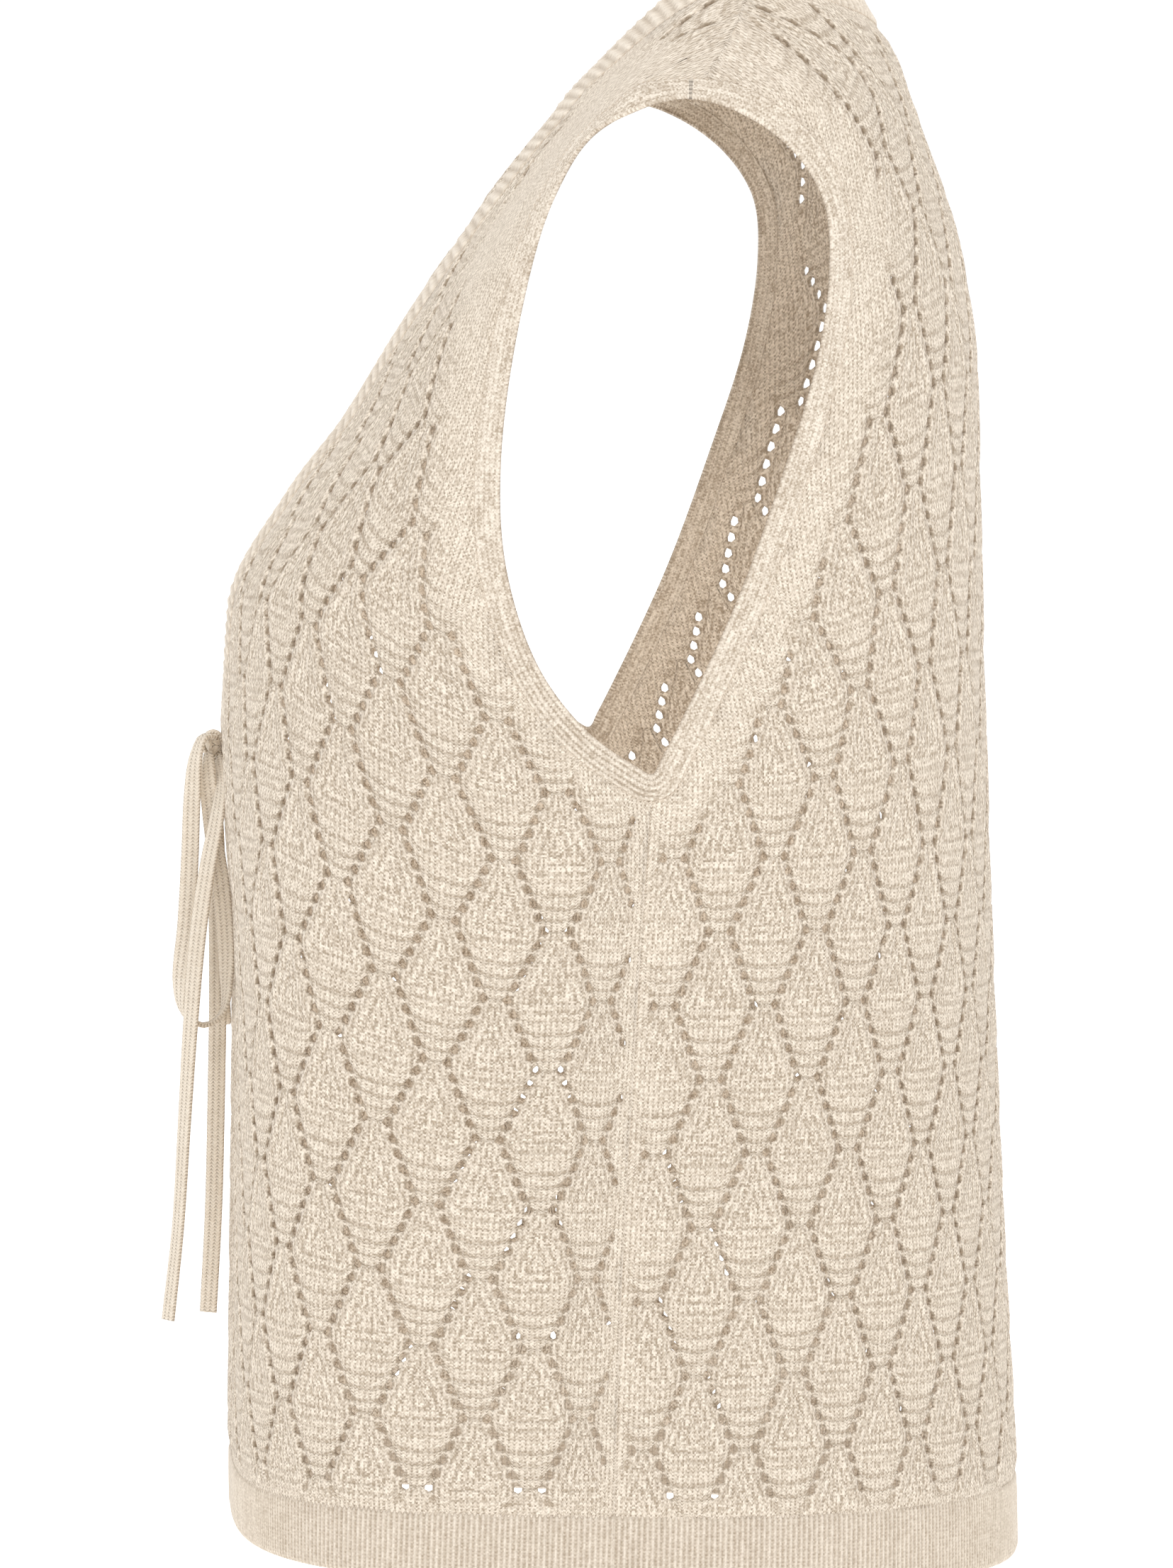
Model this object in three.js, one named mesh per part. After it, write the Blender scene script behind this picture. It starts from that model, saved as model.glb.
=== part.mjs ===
// A sleeveless V-neck sweater vest in fine diamond lace, filled out as it is when worn.
// Millimetres, +Z up, front towards -Y, the wearer's left towards +X.
// The origin lies between the shoulders, at the height where the vest rests on the wearer.
import * as THREE from 'three';

// ---- Driving sizes ------------------------------------------------------------------------
const WALL = 2.0; // thickness of the knitted cloth
const GAP = 0.3; // clearance between two sewn pieces
const NECK_BAND = 16; // width of the neckband
const ARM_BAND = 9; // width of the armhole bands
const NECK_HALF = 75; // half width of the neck opening at the shoulders
const NECK_TOP = 6; // height of the neck opening at the shoulders
const V_POINT = -255; // height of the lowest point of the V opening
const V_BOW = 0.12; // how far the sides of the V bow outwards
const BACK_NECK = { edge: -6, seam: -19, power: 2.5 }; // height at the centre back, rise to the shoulder
const HEM = { height: -529, tilt: 6 }; // lower edge of the hem band, higher in front by its tilt
const HEM_SEAM = { height: -506, tilt: 3 }; // seam between the hem band and the lace
const TAPE = { width: 6, thick: 2 }; // the flat tie tape
const KNOT = { x: 5, y: 3.6, z: 4.5, height: -262 }; // half sizes of the bow's knot

// Horizontal sections of the body. seam: y of the side seam or shoulder line, half: half width there,
// front and back: depth from the seam to the centre front and centre back,
// frontPower and backPower: squareness of the two half sections (2 is an ellipse).
const SECTIONS = [
  { z: -560, seam: -39.5, half: 156, front: 119.0, back: 147.0, frontPower: 3.2, backPower: 2.4 },
  { z: -515, seam: -38.2, half: 155, front: 122.0, back: 145.0, frontPower: 3.3, backPower: 2.4 },
  { z: -430, seam: -35.2, half: 151, front: 124.0, back: 137.6, frontPower: 4.0, backPower: 2.4 },
  { z: -335, seam: -30.0, half: 151, front: 128.2, back: 128.2, frontPower: 4.4, backPower: 2.4 },
  { z: -250, seam: -25.0, half: 157, front: 136.7, back: 120.2, frontPower: 3.2, backPower: 2.4 },
  { z: -214, seam: -23.5, half: 158, front: 135.5, back: 117.6, frontPower: 3.0, backPower: 2.4 },
  { z: -178, seam: -21.5, half: 160, front: 118.0, back: 114.8, frontPower: 3.1, backPower: 2.4 },
  { z: -152, seam: -20.0, half: 162, front: 99.5, back: 112.5, frontPower: 3.3, backPower: 2.4 },
  { z: -125, seam: -18.5, half: 163, front: 84.0, back: 109.8, frontPower: 3.6, backPower: 2.4 },
  { z: -90, seam: -16.5, half: 164.5, front: 61.5, back: 101.5, frontPower: 4.6, backPower: 2.4 },
  { z: -60, seam: -15.0, half: 166, front: 40.5, back: 89.8, frontPower: 6.0, backPower: 2.4 },
  { z: -46, seam: -13.0, half: 163, front: 31.2, back: 82.6, frontPower: 5.0, backPower: 2.4 },
  { z: -30, seam: -3.0, half: 138, front: 27.2, back: 67.6, frontPower: 3.8, backPower: 2.3 },
  { z: -10, seam: 11.0, half: 103, front: 22.8, back: 42.4, frontPower: 3.0, backPower: 2.2 },
  { z: 6, seam: 20.0, half: 75, front: 18.0, back: 26.0, frontPower: 2.4, backPower: 2.2 },
];

// Finished edge of the left armhole in side view, from the shoulder down the front and up the back.
const ARMHOLE = [
  { y: -14, z: -43.4 }, { y: -31, z: -47.5 }, { y: -46, z: -56 }, { y: -58.5, z: -77.6 },
  { y: -68.5, z: -114 }, { y: -74.8, z: -161 }, { y: -73, z: -196 }, { y: -62.3, z: -228.3 },
  { y: -46, z: -250.5 }, { y: -31, z: -262 }, { y: -22, z: -262 }, { y: -13, z: -247 },
  { y: 1.3, z: -208.7 }, { y: 17, z: -166 }, { y: 28.5, z: -129 }, { y: 32.8, z: -99 },
  { y: 31, z: -77.6 }, { y: 21.4, z: -62 }, { y: 5, z: -49.5 },
];

// ---- The body surface ---------------------------------------------------------------------
// A place on the cloth is an angle and a height. The angle is seen from above, about the side
// seam's y: 0 at the centre front, a quarter turn at the left seam, half a turn at the centre back.
const QUARTER = Math.PI / 2;

// Smooth value of one column of SECTIONS at height z, without overshoot.
function column(name, z) {
  const last = SECTIONS.length - 1;
  const at = Math.min(Math.max(z, SECTIONS[0].z), SECTIONS[last].z);
  let k = 0;
  while (k < last - 1 && at > SECTIONS[k + 1].z) k += 1;
  const rise = (i) => (SECTIONS[i + 1][name] - SECTIONS[i][name]) / (SECTIONS[i + 1].z - SECTIONS[i].z);
  const slope = (i) => {
    if (i === 0) return rise(0);
    if (i === last) return rise(last - 1);
    const below = rise(i - 1);
    const above = rise(i);
    return below * above <= 0 ? 0 : (2 * below * above) / (below + above);
  };
  const span = SECTIONS[k + 1].z - SECTIONS[k].z;
  const t = (at - SECTIONS[k].z) / span;
  const left = SECTIONS[k][name] * (1 + 2 * t) * (1 - t) ** 2 + slope(k) * span * t * (1 - t) ** 2;
  return left + SECTIONS[k + 1][name] * t * t * (3 - 2 * t) + slope(k + 1) * span * t * t * (t - 1);
}

function onCloth({ angle, z }) {
  const inFront = Math.cos(angle) > 0;
  const depth = column(inFront ? 'front' : 'back', z);
  const power = column(inFront ? 'frontPower' : 'backPower', z);
  const across = (Math.abs(Math.sin(angle)) / column('half', z)) ** power;
  const reach = (across + (Math.abs(Math.cos(angle)) / depth) ** power) ** (-1 / power);
  return new THREE.Vector3(reach * Math.sin(angle), column('seam', z) - reach * Math.cos(angle), z);
}

function outward({ angle, z }) {
  const [turn, rise] = [0.002, 0.5];
  const along = onCloth({ angle: angle + turn, z }).sub(onCloth({ angle: angle - turn, z }));
  const up = onCloth({ angle, z: z + rise }).sub(onCloth({ angle, z: z - rise }));
  return along.cross(up).normalize();
}

// The place on the cloth that a point beside it stands for.
function placeOf(point) {
  return { angle: Math.atan2(point.x, column('seam', point.z) - point.y), z: point.z };
}

// The place at (y, z) in side view, on the left.
function fromSide(y, z) {
  const ahead = column('seam', z) - y;
  const depth = column(ahead > 0 ? 'front' : 'back', z);
  const power = column(ahead > 0 ? 'frontPower' : 'backPower', z);
  const x = column('half', z) * (1 - (Math.abs(ahead) / depth) ** power) ** (1 / power);
  return { angle: Math.atan2(x, ahead), z };
}

// The place at (x, z) in front view, on the left, on the front or the back of the cloth.
function fromFront(x, z, onBack = false) {
  const depth = column(onBack ? 'back' : 'front', z);
  const power = column(onBack ? 'backPower' : 'frontPower', z);
  const ahead = depth * Math.max(0, 1 - (x / column('half', z)) ** power) ** (1 / power);
  return { angle: Math.atan2(x, onBack ? -ahead : ahead), z };
}

// ---- Cloth as a wall ----------------------------------------------------------------------
// Collects quads of places, then gives them their thickness: an outer skin on the body surface,
// an inner skin one wall inside it, and a rim along every free edge.
class Cloth {
  constructor() {
    this.places = [];
    this.keys = new Map();
    this.quads = [];
  }

  vertex(place) {
    const p = onCloth(place);
    const key = [p.x, p.y, p.z].map((value) => Math.round(value * 100)).join();
    if (!this.keys.has(key)) {
      this.keys.set(key, this.places.length);
      this.places.push(place);
    }
    return this.keys.get(key);
  }

  // rows[j][i] is a place; columns run towards growing angles and rows run upwards.
  addRows(rows, closed = false) {
    const ids = rows.map((row) => row.map((place) => this.vertex(place)));
    const count = ids[0].length;
    for (let j = 0; j + 1 < ids.length; j += 1) {
      for (let i = 0; i + (closed ? 0 : 1) < count; i += 1) {
        const next = (i + 1) % count;
        this.quads.push([ids[j][i], ids[j][next], ids[j + 1][next], ids[j + 1][i]]);
      }
    }
  }

  geometry() {
    const outer = this.places.map(onCloth);
    const inner = this.places.map((place, i) => outer[i].clone().addScaledVector(outward(place), -WALL));
    const count = outer.length;
    const index = [];
    const edges = new Map();
    for (const quad of this.quads) {
      for (const [a, b, c] of [[0, 1, 2], [0, 2, 3]].map((corner) => corner.map((k) => quad[k]))) {
        if (a === b || b === c || c === a) continue;
        index.push(a, b, c, count + a, count + c, count + b);
        for (const [from, to] of [[a, b], [b, c], [c, a]]) edges.set(`${from},${to}`, [from, to]);
      }
    }
    for (const [from, to] of edges.values()) {
      if (edges.has(`${to},${from}`)) continue;
      index.push(from, count + from, to, to, count + from, count + to);
    }
    const shape = new THREE.BufferGeometry();
    const values = [...outer, ...inner].flatMap((p) => p.toArray());
    shape.setAttribute('position', new THREE.Float32BufferAttribute(values, 3));
    shape.setIndex(index);
    shape.computeVertexNormals();
    return shape;
  }
}

const steps = (count) => Array.from({ length: count + 1 }, (_, i) => i / count);
const mix = (a, b, t) => ({ angle: a.angle + (b.angle - a.angle) * t, z: a.z + (b.z - a.z) * t });
const mirrored = ({ angle, z }, onBack = false) => ({ angle: (onBack ? 2 * Math.PI : 0) - angle, z });
const level = (edge, angle) => edge.height + edge.tilt * Math.cos(angle);

// Angle of the front or back panel's seam edge, half a gap from the seam itself.
const seamAngle = (z, onBack) => QUARTER + ((onBack ? 1 : -1) * GAP) / 2 / column('half', z);

// ---- Neck and armhole lines ---------------------------------------------------------------
// x of a line that runs beside the V opening's edge, out from it by aside.
function besideV(z, aside) {
  const t = (z - V_POINT) / (NECK_TOP - V_POINT);
  const bow = t > 0 ? V_BOW : 0;
  const steep = (NECK_HALF / (NECK_TOP - V_POINT)) * (1 + V_BOW - 2 * bow * t);
  return NECK_HALF * ((1 + V_BOW) * t - bow * t * t) + aside * Math.hypot(1, steep);
}

// Highest point of that line, where it meets the shoulder line.
function shoulderHeight(aside) {
  let [low, high] = [-60, NECK_TOP];
  for (let i = 0; i < 40; i += 1) {
    const middle = (low + high) / 2;
    if (besideV(middle, aside) < column('half', middle)) low = middle;
    else high = middle;
  }
  return low;
}

function lowestPoint(aside) {
  const steep = (NECK_HALF / (NECK_TOP - V_POINT)) * (1 + V_BOW);
  return V_POINT - (aside * Math.hypot(1, steep)) / steep;
}

// The neck line on the front, from the V's lowest point (t = 0) to the shoulder (t = 1).
function frontNeck(aside, t) {
  const top = shoulderHeight(aside);
  const bottom = lowestPoint(aside);
  const z = bottom + (top - bottom) * (1 - (1 - t) ** 1.6);
  if (t === 1) return { angle: QUARTER, z: top };
  return fromFront(Math.max(0, besideV(z, aside)), z);
}

// The neck line on the back, from the shoulder (t = 0) to the centre back (t = 1).
function backNeck(aside, t) {
  const top = shoulderHeight(aside);
  const low = BACK_NECK.edge + ((BACK_NECK.seam - BACK_NECK.edge) * aside) / NECK_BAND;
  if (t === 0) return { angle: QUARTER, z: top };
  const x = column('half', top) * (1 - t);
  return fromFront(x, low + (top - low) * (1 - t) ** BACK_NECK.power, true);
}

// The armhole line, out from the finished edge by aside. turn runs from 0 to 1, down the front first.
const armholeCurve = new THREE.CatmullRomCurve3(
  ARMHOLE.map(({ y, z }) => new THREE.Vector3(0, y, z)), true, 'centripetal');

function besideArmhole(turn, aside) {
  const place = (t) => {
    const p = armholeCurve.getPoint(((t % 1) + 1) % 1);
    return fromSide(p.y, p.z);
  };
  const here = place(turn);
  if (aside === 0) return here;
  const along = onCloth(place(turn + 0.003)).sub(onCloth(place(turn - 0.003))).normalize();
  const away = along.cross(outward(here));
  return placeOf(onCloth(here).addScaledVector(away, aside));
}

// The turns at which the panels' armhole line crosses the shoulder line and the side seam.
const PANEL_ASIDE = ARM_BAND + GAP;
function crossing(from, to) {
  const side = (turn) => besideArmhole(turn, PANEL_ASIDE).angle - QUARTER;
  let [a, b] = [from, to];
  const sign = Math.sign(side(a));
  for (let i = 0; i < 40; i += 1) {
    const middle = (a + b) / 2;
    if (Math.sign(side(middle)) === sign) a = middle;
    else b = middle;
  }
  return (a + b) / 2;
}
const SHOULDER_TURN = crossing(-0.12, 0.12);
const SEAM_TURN = crossing(0.38, 0.62);

// ---- Front and back panels ----------------------------------------------------------------
const BODY_ROWS = 11;
const CHEST_ROWS = 18;
const COLUMNS = 12;
const BACK_CLIMB = 2 / 3; // share of the back's chest rows that lie below its neck line
const SHOULDER_EASE = 1.5; // rows crowd towards the shoulder line, where the cloth turns over

// The rows beside the armhole, from its foot to the shoulder. onNeck is the share of the neck line
// that the row has passed, below nought while the back still climbs its centre line, and turn is
// the armhole turn at the row's other end; climbed is the share of the centre line behind it.
// Panels and bands share these rows, so that their edges match.
function chestRows(onBack) {
  const climb = onBack ? BACK_CLIMB : 0;
  const shoulder = SHOULDER_TURN + (onBack ? 1 : 0);
  return steps(CHEST_ROWS).map((v) => {
    const passed = (v - climb) / (1 - climb);
    const onNeck = passed < -1e-9 ? passed : 1 - (1 - Math.max(0, passed)) ** SHOULDER_EASE;
    const share = onNeck < 0 ? v : climb + (1 - climb) * onNeck;
    const climbed = onBack ? Math.min(1, v / climb) : 1;
    return { onNeck, climbed, turn: SEAM_TURN + (shoulder - SEAM_TURN) * share };
  });
}

// Half of a panel, from its centre to the left seam: rows below the armhole, then rows beside it.
function panelHalf(onBack) {
  const aside = NECK_BAND + GAP;
  const neck = (t) => (onBack ? backNeck(aside, 1 - t) : frontNeck(aside, t));
  const inPiece = ({ angle, z }) => {
    const edge = seamAngle(z, onBack);
    return { angle: onBack ? Math.max(angle, edge) : Math.min(angle, edge), z };
  };
  const armFoot = besideArmhole(SEAM_TURN, PANEL_ASIDE);
  const centreFoot = { angle: onBack ? Math.PI : 0, z: onBack ? armFoot.z : neck(0).z };
  const body = steps(BODY_ROWS).map((v) => steps(COLUMNS).map((u) => {
    const top = mix(centreFoot, armFoot, u);
    const foot = { angle: top.angle, z: level(HEM_SEAM, top.angle) + GAP };
    return inPiece(mix(foot, top, v));
  }));
  const chest = chestRows(onBack).slice(1).map(({ onNeck, climbed, turn }) => {
    const inner = onNeck < 0 ? mix(centreFoot, neck(0), climbed) : neck(onNeck);
    const outer = besideArmhole(turn, PANEL_ASIDE);
    return steps(COLUMNS).map((u) => inPiece(mix(inner, outer, u)));
  });
  return [...body, ...chest];
}

function panel(onBack) {
  const cloth = new Cloth();
  const half = panelHalf(onBack);
  const flipped = (rows) => rows.map((row) => [...row].reverse());
  const other = half.map((row) => row.map((place) => mirrored(place, onBack)));
  cloth.addRows(onBack ? flipped(half) : half);
  cloth.addRows(onBack ? other : flipped(other));
  return cloth.geometry();
}

// ---- Ribbed bands -------------------------------------------------------------------------
function hemBand(onBack) {
  const cloth = new Cloth();
  const start = onBack ? QUARTER : -QUARTER;
  const edge = GAP / 2 / column('half', HEM.height);
  const angles = steps(2 * COLUMNS).map((t) => start + edge + (Math.PI - 2 * edge) * t);
  cloth.addRows([HEM, HEM_SEAM].map((line) => angles.map((angle) => ({ angle, z: level(line, angle) }))));
  return cloth.geometry();
}

// The neckband runs from the V's point up one side, round the back and down to the point again.
function neckBand() {
  const line = (aside) => {
    const onNeck = (row) => row.onNeck >= 0;
    const left = [
      ...chestRows(false).map((row) => frontNeck(aside, row.onNeck)),
      ...chestRows(true).filter(onNeck).reverse().slice(1).map((row) => backNeck(aside, 1 - row.onNeck)),
    ];
    const right = left.slice(1, -1).map((place) => mirrored(place, true));
    return [...left, ...right.reverse()];
  };
  const cloth = new Cloth();
  cloth.addRows([NECK_BAND, NECK_BAND / 2, 0].map(line), true);
  return cloth.geometry();
}

function armholeBand(side) {
  const cloth = new Cloth();
  const front = chestRows(false).map((row) => row.turn).reverse();
  const turns = [...front, ...chestRows(true).map((row) => row.turn).slice(1, -1)];
  const lines = [0, ARM_BAND / 2, ARM_BAND].map((aside) => turns.map((t) => besideArmhole(t, aside)));
  if (side > 0) cloth.addRows(lines.map((row) => [...row].reverse()), true);
  else cloth.addRows(lines.map((row) => row.map((place) => mirrored(place))), true);
  return cloth.geometry();
}

// ---- The tie ------------------------------------------------------------------------------
// The bow's tape leaves the knot as two loops and two tails. Each row is a point of its centre line.
const TIE_ROUTES = {
  tie_loop_left: [
    { x: 6, y: -166.2, z: -259.4 }, { x: 9, y: -169.2, z: -259 }, { x: 11, y: -171.8, z: -265.5 },
    { x: 12, y: -173.2, z: -280 }, { x: 12.5, y: -173.9, z: -298 }, { x: 13.5, y: -175.3, z: -322 },
    { x: 15, y: -177.4, z: -343 }, { x: 15, y: -175.8, z: -353 }, { x: 13.5, y: -169, z: -356.8 },
    { x: 12.5, y: -163, z: -352.5 }, { x: 11.5, y: -161.6, z: -338 }, { x: 10.5, y: -163.2, z: -312 },
    { x: 9.5, y: -166.2, z: -290 }, { x: 8.5, y: -167.8, z: -273 }, { x: 6, y: -167.6, z: -264.6 },
  ],
  tie_loop_right: [
    { x: -6, y: -166.2, z: -259.4 }, { x: -13, y: -167, z: -260 }, { x: -23, y: -166.2, z: -269 },
    { x: -31, y: -165.4, z: -288 }, { x: -37, y: -164.6, z: -311 }, { x: -41, y: -163.4, z: -334 },
    { x: -41, y: -162.8, z: -350 }, { x: -34, y: -162.4, z: -360 }, { x: -26, y: -162.4, z: -353 },
    { x: -20, y: -162.6, z: -335 }, { x: -16, y: -163.8, z: -311 }, { x: -13.5, y: -165.4, z: -288 },
    { x: -10, y: -166.6, z: -270 }, { x: -6, y: -166.4, z: -264 },
  ],
  tie_tail_left: [
    { x: 3.4, y: -164.2, z: -267 }, { x: 11, y: -163.2, z: -274.5 }, { x: 17, y: -165.2, z: -288 },
    { x: 19.5, y: -168, z: -302 }, { x: 21.5, y: -171.6, z: -327 }, { x: 23, y: -174.2, z: -358 },
    { x: 23.4, y: -176.3, z: -391 }, { x: 23.6, y: -178.5, z: -425 }, { x: 24, y: -181.9, z: -456 },
  ],
  tie_tail_right: [
    { x: -2.2, y: -165.8, z: -267 }, { x: -3, y: -164.8, z: -298 }, { x: -3.2, y: -164.4, z: -347 },
    { x: -3.4, y: -164.9, z: -378 }, { x: -3.6, y: -166, z: -421 }, { x: -4, y: -167.9, z: -456.6 },
  ],
};
const TAPE_STEP = 13; // length of tape between two sections

function tape(route) {
  const [w, t] = [TAPE.width / 2, TAPE.thick / 2];
  const bevel = 0.5;
  const corners = [
    [w, t - bevel], [w - bevel, t], [bevel - w, t], [-w, t - bevel],
    [-w, bevel - t], [bevel - w, -t], [w - bevel, -t], [w, bevel - t],
  ];
  const section = new THREE.Shape(corners.map(([x, y]) => new THREE.Vector2(y, x)));
  const path = new THREE.CatmullRomCurve3(route.map(({ x, y, z }) => new THREE.Vector3(x, y, z)));
  return new THREE.ExtrudeGeometry(section, {
    steps: Math.ceil(path.getLength() / TAPE_STEP), bevelEnabled: false, extrudePath: path,
  });
}

function knot() {
  const front = onCloth({ angle: 0, z: KNOT.height });
  const shape = new THREE.SphereGeometry(1, 12, 8);
  shape.scale(KNOT.x, KNOT.y, KNOT.z);
  shape.translate(0, front.y - GAP - KNOT.y, KNOT.height);
  return shape;
}

// ---- Materials and assembly ---------------------------------------------------------------
const lace = new THREE.MeshStandardMaterial({ color: 0xe0d2bd, roughness: 0.9, metalness: 0 });
const rib = new THREE.MeshStandardMaterial({ color: 0xe3d6c2, roughness: 0.9, metalness: 0 });
const tieTape = new THREE.MeshStandardMaterial({ color: 0xe6d9c6, roughness: 0.8, metalness: 0 });

const vest = new THREE.Group();

function add(name, geometry, material) {
  const mesh = new THREE.Mesh(geometry, material);
  mesh.name = name;
  vest.add(mesh);
}

add('front_panel', panel(false), lace);
add('back_panel', panel(true), lace);
add('hem_band_front', hemBand(false), rib);
add('hem_band_back', hemBand(true), rib);
add('neckband', neckBand(), rib);
add('armhole_band_left', armholeBand(1), rib);
add('armhole_band_right', armholeBand(-1), rib);
add('tie_knot', knot(), tieTape);
for (const [name, route] of Object.entries(TIE_ROUTES)) add(name, tape(route), tieTape);

export default vest;
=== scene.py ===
import math
from functools import partialmethod

import bpy
import numpy as np
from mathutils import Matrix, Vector


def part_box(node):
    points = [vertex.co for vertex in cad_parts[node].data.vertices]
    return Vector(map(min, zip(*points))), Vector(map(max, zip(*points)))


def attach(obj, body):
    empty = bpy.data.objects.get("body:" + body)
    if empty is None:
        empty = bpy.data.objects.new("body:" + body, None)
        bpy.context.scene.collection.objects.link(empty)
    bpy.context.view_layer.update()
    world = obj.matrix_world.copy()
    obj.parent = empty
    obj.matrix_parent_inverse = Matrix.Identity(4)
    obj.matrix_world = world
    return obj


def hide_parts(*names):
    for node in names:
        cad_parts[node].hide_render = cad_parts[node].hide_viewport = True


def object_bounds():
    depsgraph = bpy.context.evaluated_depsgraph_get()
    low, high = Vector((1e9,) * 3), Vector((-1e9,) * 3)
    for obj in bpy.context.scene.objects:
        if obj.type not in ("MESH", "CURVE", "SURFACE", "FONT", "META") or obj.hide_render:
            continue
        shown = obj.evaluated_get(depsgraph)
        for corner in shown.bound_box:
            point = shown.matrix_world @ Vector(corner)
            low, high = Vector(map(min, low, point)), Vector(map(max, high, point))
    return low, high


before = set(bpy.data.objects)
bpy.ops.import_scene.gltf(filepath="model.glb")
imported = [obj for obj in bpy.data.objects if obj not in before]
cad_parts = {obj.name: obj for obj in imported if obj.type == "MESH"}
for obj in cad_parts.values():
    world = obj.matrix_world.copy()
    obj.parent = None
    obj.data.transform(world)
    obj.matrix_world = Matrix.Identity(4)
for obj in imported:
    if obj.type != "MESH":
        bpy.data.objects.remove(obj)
cad_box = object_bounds()
MM = 0.001  # sizes below are in millimetres, and Blender's are in metres


# ---- Camera -------------------------------------------------------------------------------
# The vest is seen from its wearer's left, a little in front of square on, through a long lens
# 3.4 m away. The camera is level with the neck, so it tips down to the middle of the body.
CAMERA_AZIMUTH = math.radians(87)  # 0 looks along +Y, a quarter turn looks along -X
CAMERA_DISTANCE = 3.4
CAMERA_LENS = 229.6  # focal length in mm, for the 36 mm sensor
LOOKED_AT = Vector((0, -0.0387, -0.2761))
CAMERA_DROP = 0.2183  # how far the view sinks between the camera and the vest


def in_scene(name, data):
    """A new object in the scene, which shows a mesh, a lamp or a camera."""
    thing = bpy.data.objects.new(name, data)
    bpy.context.scene.collection.objects.link(thing)
    return thing


def aim(thing, place, faced):
    """Puts a camera or a lamp in its place, facing a point."""
    thing.location = place
    thing.rotation_euler = (faced - place).to_track_quat("-Z", "Y").to_euler()


camera = in_scene("camera", bpy.data.cameras.new("camera"))
camera.data.lens = CAMERA_LENS
aim(camera, LOOKED_AT + Vector((
    CAMERA_DISTANCE * math.sin(CAMERA_AZIMUTH),
    -CAMERA_DISTANCE * math.cos(CAMERA_AZIMUTH),
    CAMERA_DROP,
)), LOOKED_AT)
bpy.context.scene.camera = camera


# ---- Bow loops and tails ------------------------------------------------------------------
# The tie is a narrow flat tape of fine rib knit, three wales wide, in the vest's own yarn.
# It leaves the knot at the point of the V as two drooping loops and two long tails.
TAPE_WIDTH = 6.0
TAPE_THICK = 1.7
TAPE_WALES = 3
TAPE_COURSE = 1.15  # height of a stitch
TAPE_STEP = 2.5  # length of tape between two sections
TAPE_CORNERS = 24  # points round a section

# Each row is a point of the tape's centre line, and the angle of its width seen from above:
# 0 lies across the body and 90 runs from front to back.
TAPE_ROUTES = {
    "bow_loop_left": ("tie_loop_left", [
        (6, -166.2, -259.4, 10), (9, -169.2, -259, 20), (11, -171.8, -265.5, 40), (12, -173.2, -280, 70),
        (12.5, -173.9, -298, 84), (13.5, -175.3, -322, 84), (15, -177.4, -343, 50), (15, -175.8, -353, 10),
        (13.5, -169, -356.8, 0), (12.5, -163, -352.5, 10), (11.5, -161.6, -338, 50), (10.5, -163.2, -312, 84),
        (9.5, -166.2, -290, 84), (8.5, -167.8, -273, 60), (6, -167.6, -264.6, 20),
    ]),
    "bow_loop_right": ("tie_loop_right", [
        (-6, -166.2, -259.4, -10), (-13, -167, -260, -15), (-23, -166.2, -269, -15), (-31, -165.4, -288, -10),
        (-37, -164.6, -311, -5), (-41, -163.4, -334, 0), (-41, -162.8, -350, 40), (-34, -162.4, -360, 90),
        (-26, -162.4, -353, 130), (-20, -162.6, -335, 165), (-16, -163.8, -311, 175),
        (-13.5, -165.4, -288, 180), (-10, -166.6, -270, 185), (-6, -166.4, -264, 190),
    ]),
    "bow_tail_left": ("tie_tail_left", [
        (3.4, -164.2, -267, 20), (11, -163.2, -274.5, 30), (17, -165.2, -288, 50), (19.5, -168, -302, 60),
        (21.5, -171.6, -327, 62), (23, -174.2, -358, 50), (23.4, -176.3, -391, 40), (23.6, -178.5, -425, 36),
        (24, -181.9, -456, 40),
    ]),
    "bow_tail_right": ("tie_tail_right", [
        (-2.2, -165.8, -267, 20), (-3, -164.8, -298, 70), (-3.2, -164.4, -347, 86), (-3.4, -164.9, -378, 86),
        (-3.6, -166, -421, 80), (-4, -167.9, -456.6, 70),
    ]),
}


class Value:
    """A number in a node tree. Python's operators on it add the tree's Math nodes."""

    def __init__(self, tree, socket):
        self.tree = tree
        self.socket = socket

    def maths(self, operation, *others):
        return self.tree.add("ShaderNodeMath", dict(enumerate((self, *others))), operation=operation)

    __add__ = __radd__ = partialmethod(maths, "ADD")
    __sub__ = partialmethod(maths, "SUBTRACT")
    __mul__ = __rmul__ = partialmethod(maths, "MULTIPLY")
    __truediv__ = partialmethod(maths, "DIVIDE")
    __pow__ = partialmethod(maths, "POWER")
    size = partialmethod(maths, "ABSOLUTE")
    whole = partialmethod(maths, "FLOOR")
    part = partialmethod(maths, "FRACT")

    def __rsub__(self, other):
        return self.tree.add("ShaderNodeMath", {0: other, 1: self}, operation="SUBTRACT")

    def wave(self):
        """1 at whole numbers and 0 halfway between them."""
        return (self * (2 * math.pi)).maths("COSINE") * 0.5 + 0.5

    def rise(self, low, high):
        """Smoothly from 0 at low to 1 at high."""
        ends = {"Value": self, "From Min": low, "From Max": high}
        return self.tree.add("ShaderNodeMapRange", ends, interpolation_type="SMOOTHSTEP")


class Nodes:
    """A node tree for a finish or a form. Every node but the operators' comes from add."""

    def __init__(self, tree):
        self.nodes = tree.nodes
        self.links = tree.links

    def add(self, kind, sockets=None, output=0, **settings):
        node = self.nodes.new(kind)
        for key, value in settings.items():
            setattr(node, key, value)
        for key, value in (sockets or {}).items():
            if isinstance(value, Value):
                self.links.new(value.socket, node.inputs[key])
            else:
                node.inputs[key].default_value = value
        return Value(self, node.outputs[output]) if node.outputs else node


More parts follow.
